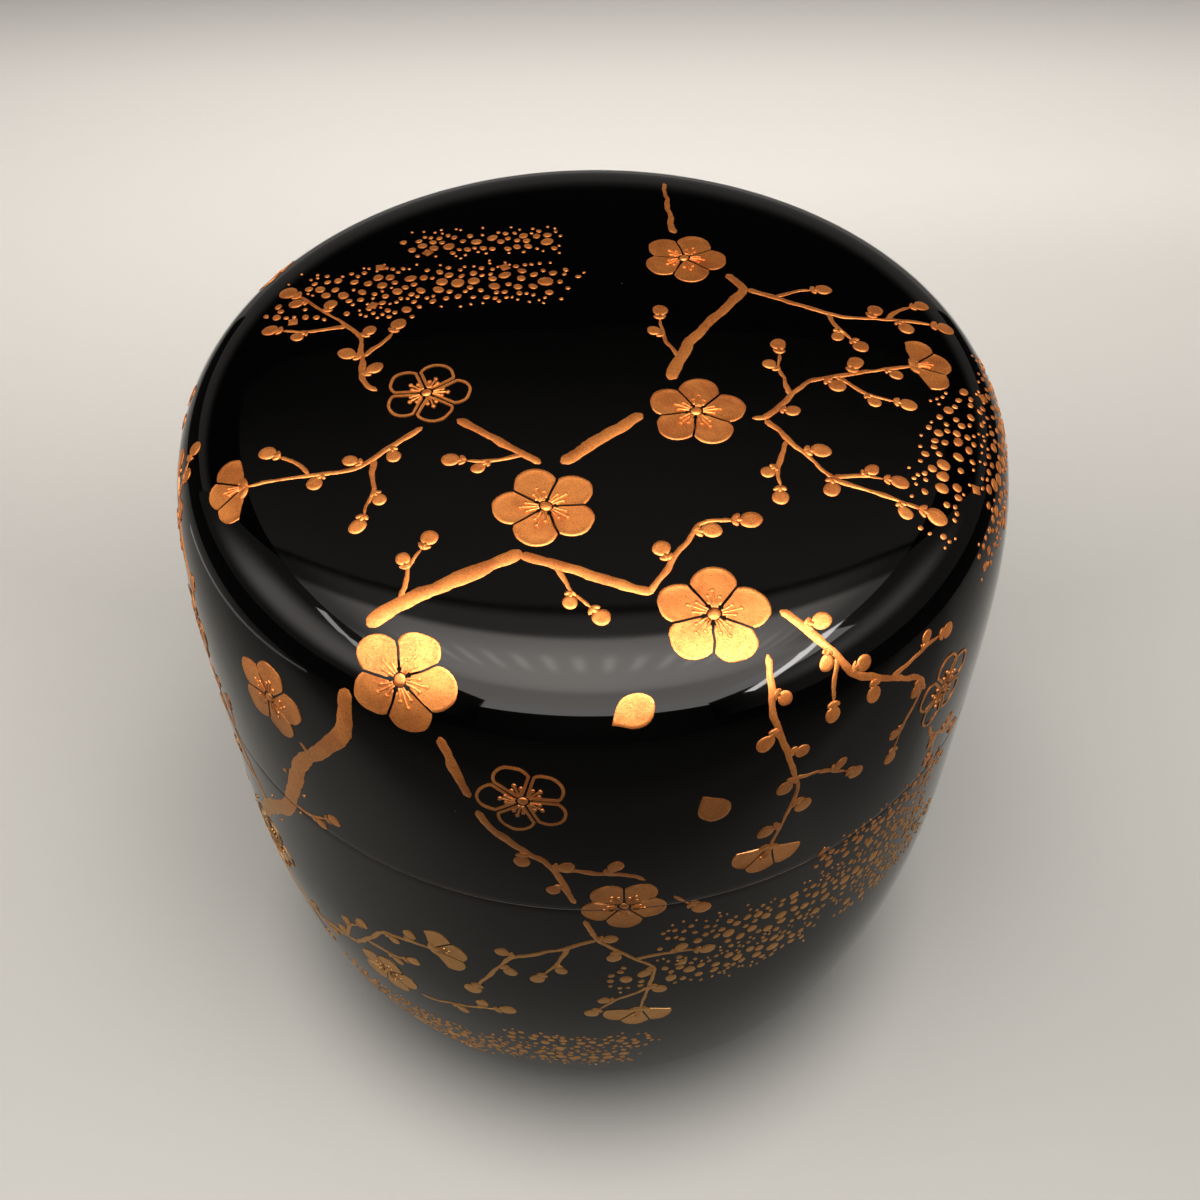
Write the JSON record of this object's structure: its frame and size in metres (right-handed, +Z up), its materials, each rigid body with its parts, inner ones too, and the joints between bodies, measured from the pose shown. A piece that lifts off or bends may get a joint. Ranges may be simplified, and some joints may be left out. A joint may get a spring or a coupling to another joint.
{
  "type": "natsume tea caddy",
  "caption": "Turned tea caddy in polished black lacquer: round-shouldered jar, deep lift-off lid over an inner rim, gold design across the seam.",
  "frame": {"origin": "centre of the foot, on the table", "axes": "+Z up the turning axis, out through the lid; -Y towards the side the picture is taken from"},
  "size_m": [0.066, 0.066, 0.0679],
  "materials": {
    "body_lacquer": "black lacquer polished to a mirror over turned wood",
    "rim_lacquer": "black lacquer, satin, over turned wood",
    "lid_lacquer": "black lacquer polished to a mirror over turned wood",
    "gold_powder": "sprinkled gold powder, burnished, slightly raised"
  },
  "bodies": {
    "jar": {"body": "body_lacquer", "rim_ring": "rim_lacquer"},
    "lid": {"lid": "lid_lacquer"}
  },
  "joints": [
    {"name": "lid_lift", "type": "slide", "parent": "jar", "child": "lid", "axis": [0, 0, 1], "range_m": [0, 0.045]}
  ]
}
